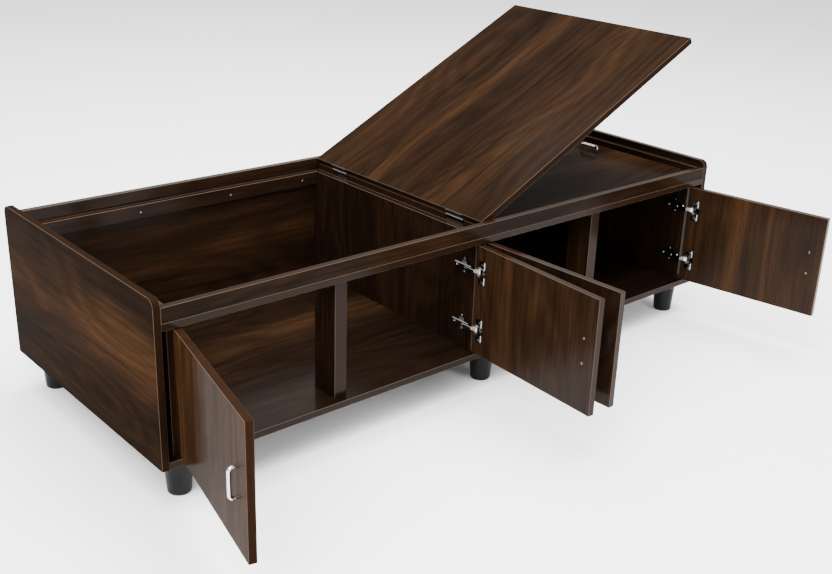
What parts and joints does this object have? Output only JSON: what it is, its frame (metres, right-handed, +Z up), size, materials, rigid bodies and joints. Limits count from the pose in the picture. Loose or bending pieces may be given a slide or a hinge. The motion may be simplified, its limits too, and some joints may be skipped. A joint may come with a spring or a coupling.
{
  "type": "lift-top storage table",
  "caption": "Long low box table with a framed top of hinged lift-up lids over storage bays, cupboard doors in the front, bow handles and short tapered feet.",
  "frame": {"origin": "centre of the bottom of the box round the whole model as it stands at rest, with its doors and its left lid open; the feet stand on Z = 0", "axes": "+X along the table from its open-lid end to its shut-lid end, +Y from the door side to the back, +Z up"},
  "size_m": [1.9334, 1.1506, 0.8576],
  "materials": {
    "walnut_laminate": "glossy dark walnut laminate on engineered board",
    "nickel_plate": "nickel-plated steel hinges",
    "chrome_plate": "polished chrome plate on round wire",
    "black_plastic": "satin black moulded plastic"
  },
  "bodies": {
    "carcass": {"bottom_board": "walnut_laminate", "end_panel_left": "walnut_laminate", "end_panel_right": "walnut_laminate", "side_panel_left": "walnut_laminate", "partition_left": "walnut_laminate", "partition_right": "walnut_laminate", "side_panel_right": "walnut_laminate", "back_panel": "walnut_laminate", "front_strip": "walnut_laminate", "front_rail": "walnut_laminate", "back_rail": "walnut_laminate", "end_rail_left": "walnut_laminate", "end_rail_right": "walnut_laminate", "back_ledge_left": "walnut_laminate", "back_ledge_right": "walnut_laminate", "front_post_left": "walnut_laminate", "front_post_right": "walnut_laminate", "foot_front_left": "black_plastic", "foot_front_middle": "black_plastic", "foot_front_right": "black_plastic", "foot_back_left": "black_plastic", "foot_back_middle": "black_plastic", "foot_back_right": "black_plastic", "door_1_lower_arm": "nickel_plate", "door_1_upper_arm": "nickel_plate", "door_2_lower_arm": "nickel_plate", "door_2_upper_arm": "nickel_plate", "door_3_lower_arm": "nickel_plate", "door_3_upper_arm": "nickel_plate", "door_4_lower_arm": "nickel_plate", "door_4_upper_arm": "nickel_plate"},
    "left_lid": {"lid_left": "walnut_laminate", "lid_left_handle": "chrome_plate", "lid_hinge_front_leaf_left": "nickel_plate", "lid_hinge_back_leaf_left": "nickel_plate"},
    "right_lid": {"lid_right": "walnut_laminate", "lid_right_handle": "chrome_plate", "lid_hinge_front_leaf_right": "nickel_plate", "lid_hinge_back_leaf_right": "nickel_plate", "lid_hinge_front_pin": "nickel_plate", "lid_hinge_back_pin": "nickel_plate"},
    "door_1": {"door_1": "walnut_laminate", "door_1_lower_cup": "nickel_plate", "door_1_upper_cup": "nickel_plate", "door_1_handle": "chrome_plate"},
    "door_2": {"door_2": "walnut_laminate", "door_2_lower_cup": "nickel_plate", "door_2_upper_cup": "nickel_plate", "door_2_handle": "chrome_plate"},
    "door_3": {"door_3": "walnut_laminate", "door_3_lower_cup": "nickel_plate", "door_3_upper_cup": "nickel_plate", "door_3_handle": "chrome_plate"},
    "door_4": {"door_4": "walnut_laminate", "door_4_lower_cup": "nickel_plate", "door_4_upper_cup": "nickel_plate", "door_4_handle": "chrome_plate"}
  },
  "joints": [
    {"name": "left_lid_hinge", "type": "hinge", "parent": "carcass", "child": "left_lid", "pos_m": [0.00768, 0.20644, 0.448], "axis": [0, 1, 0], "range_deg": [-153.4, 0]},
    {"name": "right_lid_hinge", "type": "hinge", "parent": "carcass", "child": "right_lid", "pos_m": [0.00768, 0.20644, 0.448], "axis": [0, -1, 0], "range_deg": [0, 20]},
    {"name": "door_1_hinge", "type": "hinge", "parent": "carcass", "child": "door_1", "pos_m": [-0.85892, -0.15967, 0.2595], "axis": [0, 0, 1], "range_deg": [-2.4, 102.6]},
    {"name": "door_2_hinge", "type": "hinge", "parent": "carcass", "child": "door_2", "pos_m": [-0.00272, -0.15967, 0.2595], "axis": [0, 0, 1], "range_deg": [-87, 0]},
    {"name": "door_3_hinge", "type": "hinge", "parent": "carcass", "child": "door_3", "pos_m": [0.01808, -0.15967, 0.2595], "axis": [0, 0, 1], "range_deg": [0, 87.39]},
    {"name": "door_4_hinge", "type": "hinge", "parent": "carcass", "child": "door_4", "pos_m": [0.87428, -0.15967, 0.2595], "axis": [0, 0, 1], "range_deg": [-100.2, 4.8]}
  ]
}
